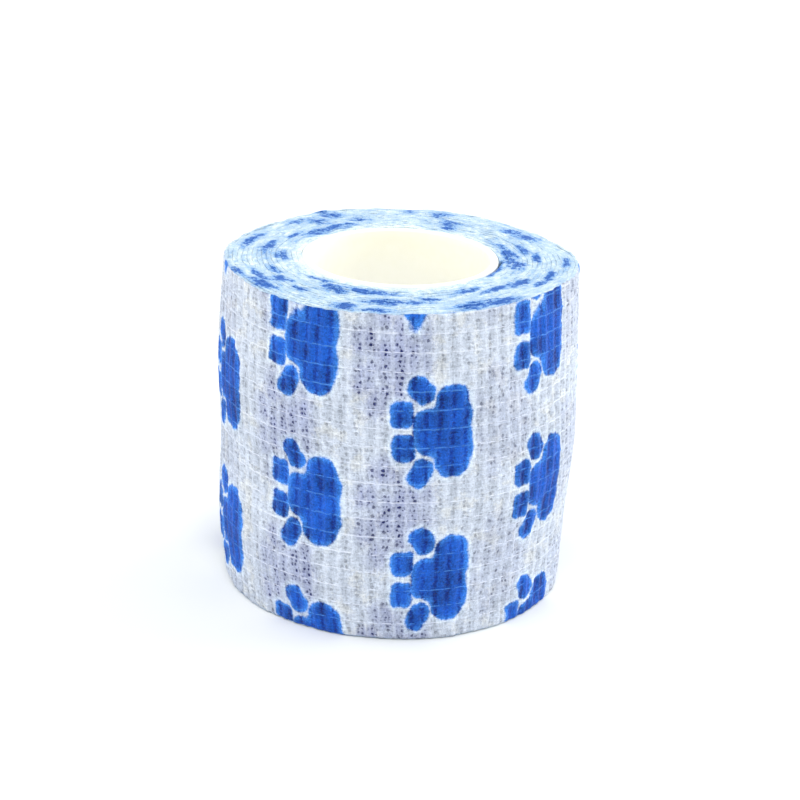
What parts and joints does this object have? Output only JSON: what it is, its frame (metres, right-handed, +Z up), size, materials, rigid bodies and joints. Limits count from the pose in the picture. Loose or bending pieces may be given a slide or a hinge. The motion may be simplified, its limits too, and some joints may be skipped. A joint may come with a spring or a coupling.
{
  "type": "cohesive bandage roll",
  "caption": "Roll of self-adhering crepe bandage tape with a paw print pattern, wound on an open paper tube and standing on one end.",
  "frame": {"origin": "middle of the roll's outline, on the surface that it stands on", "axes": "+Z up along the roll's axis; -Y is the front of the picture, and the tape's end is at the back"},
  "size_m": [0.0542, 0.0541, 0.0505],
  "materials": {
    "crepe_tape": "matt crinkled nonwoven, white with blue printed paws",
    "core_paper": "matt smooth paper, cream inside"
  },
  "bodies": {
    "root": {"bandage_roll": "crepe_tape", "core_tube": "core_paper"}
  },
  "joints": []
}
